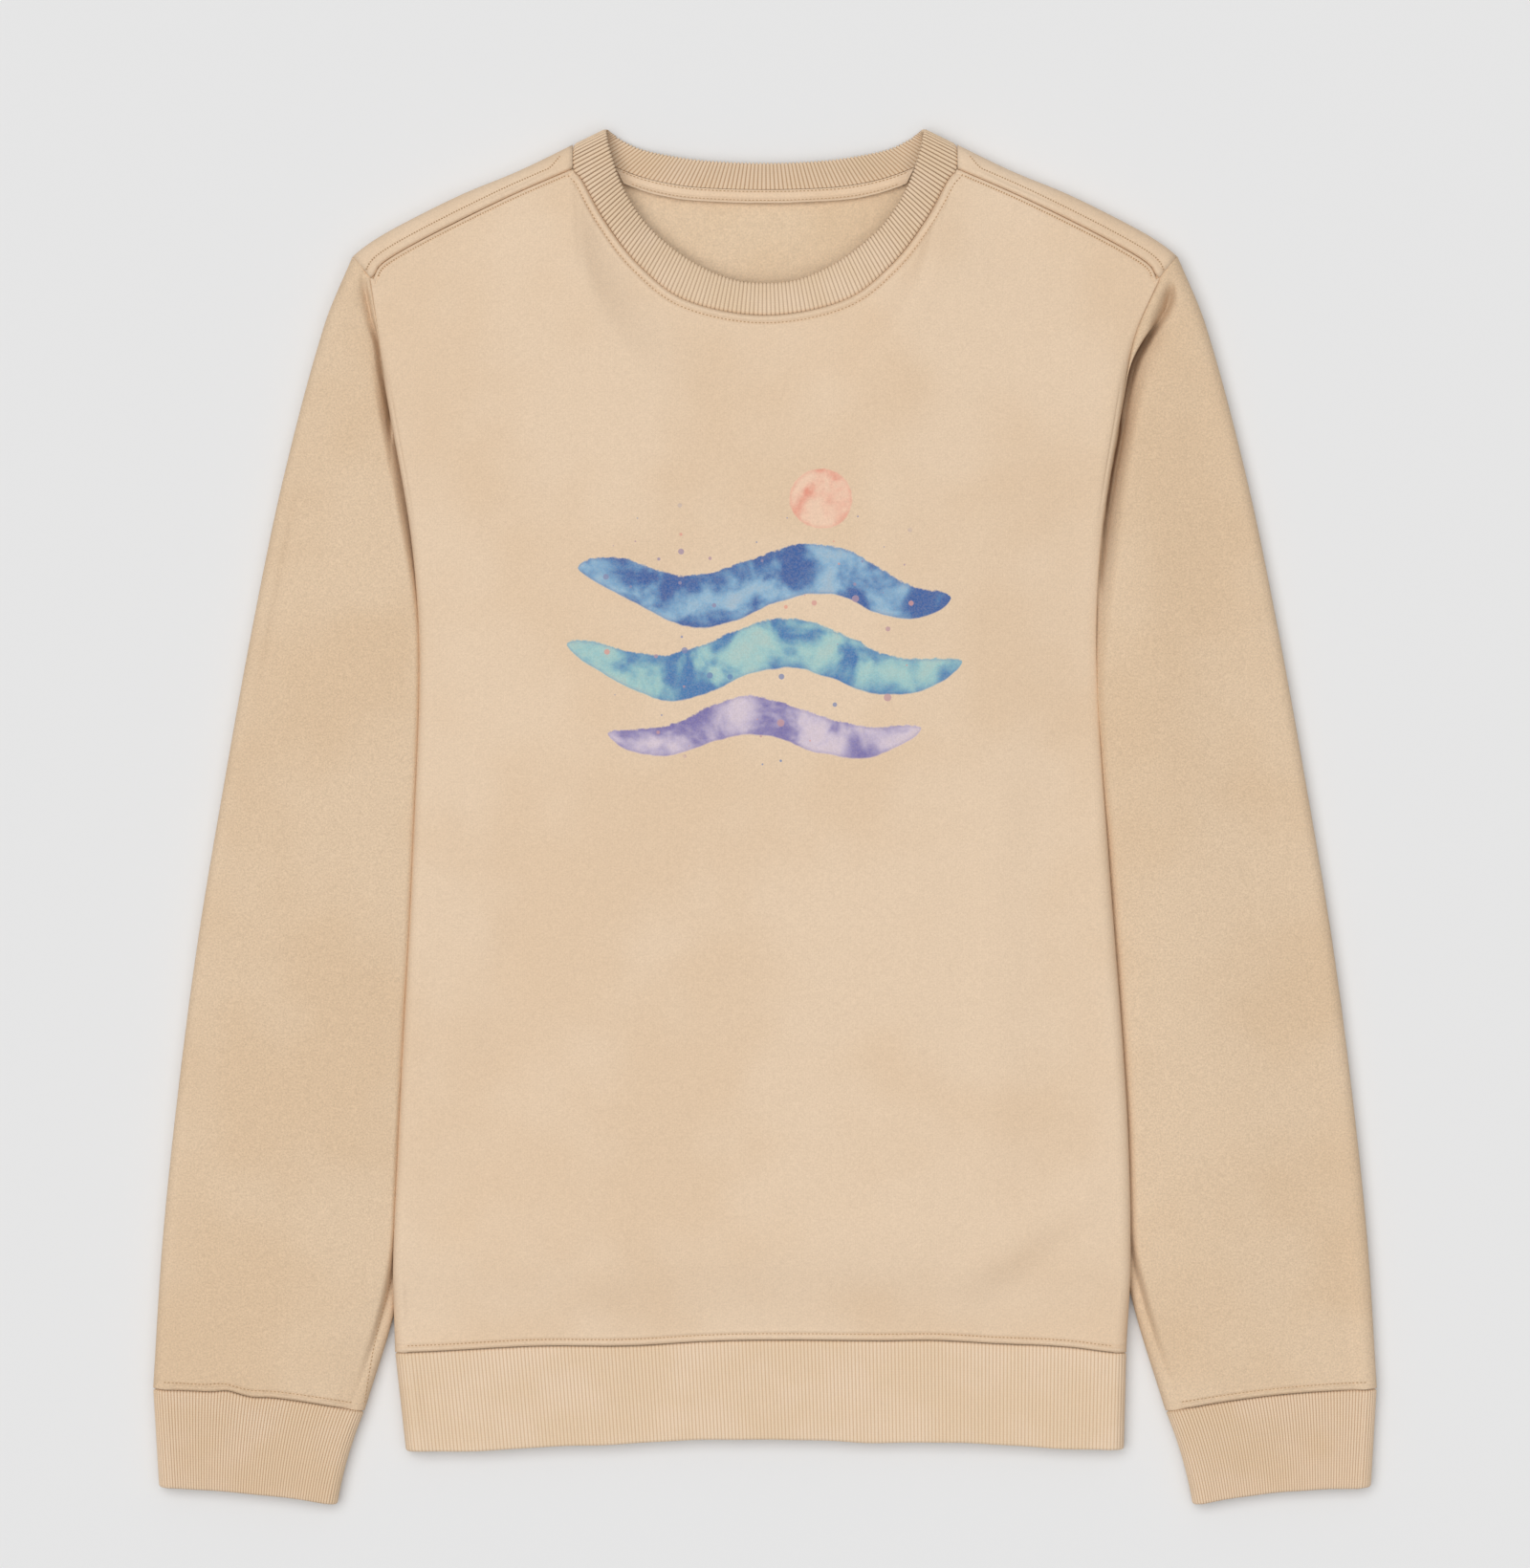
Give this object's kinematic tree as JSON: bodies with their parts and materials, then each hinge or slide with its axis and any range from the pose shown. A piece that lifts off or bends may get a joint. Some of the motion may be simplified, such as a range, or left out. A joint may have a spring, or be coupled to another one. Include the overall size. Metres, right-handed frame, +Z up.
{
  "type": "crew-neck sweatshirt",
  "caption": "Long-sleeved crew-neck sweatshirt in brushed cotton fleece, laid flat on its back, with ribbed collar, cuffs and hem and a printed front.",
  "frame": {"origin": "on the floor under the middle of the laid garment, at the bottom centre of its bounding box", "axes": "+X across the garment towards the wearer's left, +Y from the hem towards the neck, +Z up from the floor, out of the garment's front"},
  "size_m": [0.658, 0.7399, 0.0296],
  "materials": {
    "fleece": "soft brushed beige cotton fleece, matt",
    "rib": "beige one-by-one rib knit, matt",
    "tape": "beige cotton neck tape, matt",
    "thread": "beige sewing thread",
    "print": "soft matt print in watery blues with a little peach"
  },
  "bodies": {
    "root": {"front_panel": "fleece", "back_panel": "fleece", "hem_band": "rib", "collar_front": "rib", "collar_back": "rib", "neck_tape": "tape", "shoulder_left": "fleece", "side_turn_left": "fleece", "sleeve_left_top": "fleece", "sleeve_left_under": "fleece", "cuff_left": "rib", "shoulder_right": "fleece", "side_turn_right": "fleece", "sleeve_right_top": "fleece", "sleeve_right_under": "fleece", "cuff_right": "rib"}
  },
  "joints": []
}
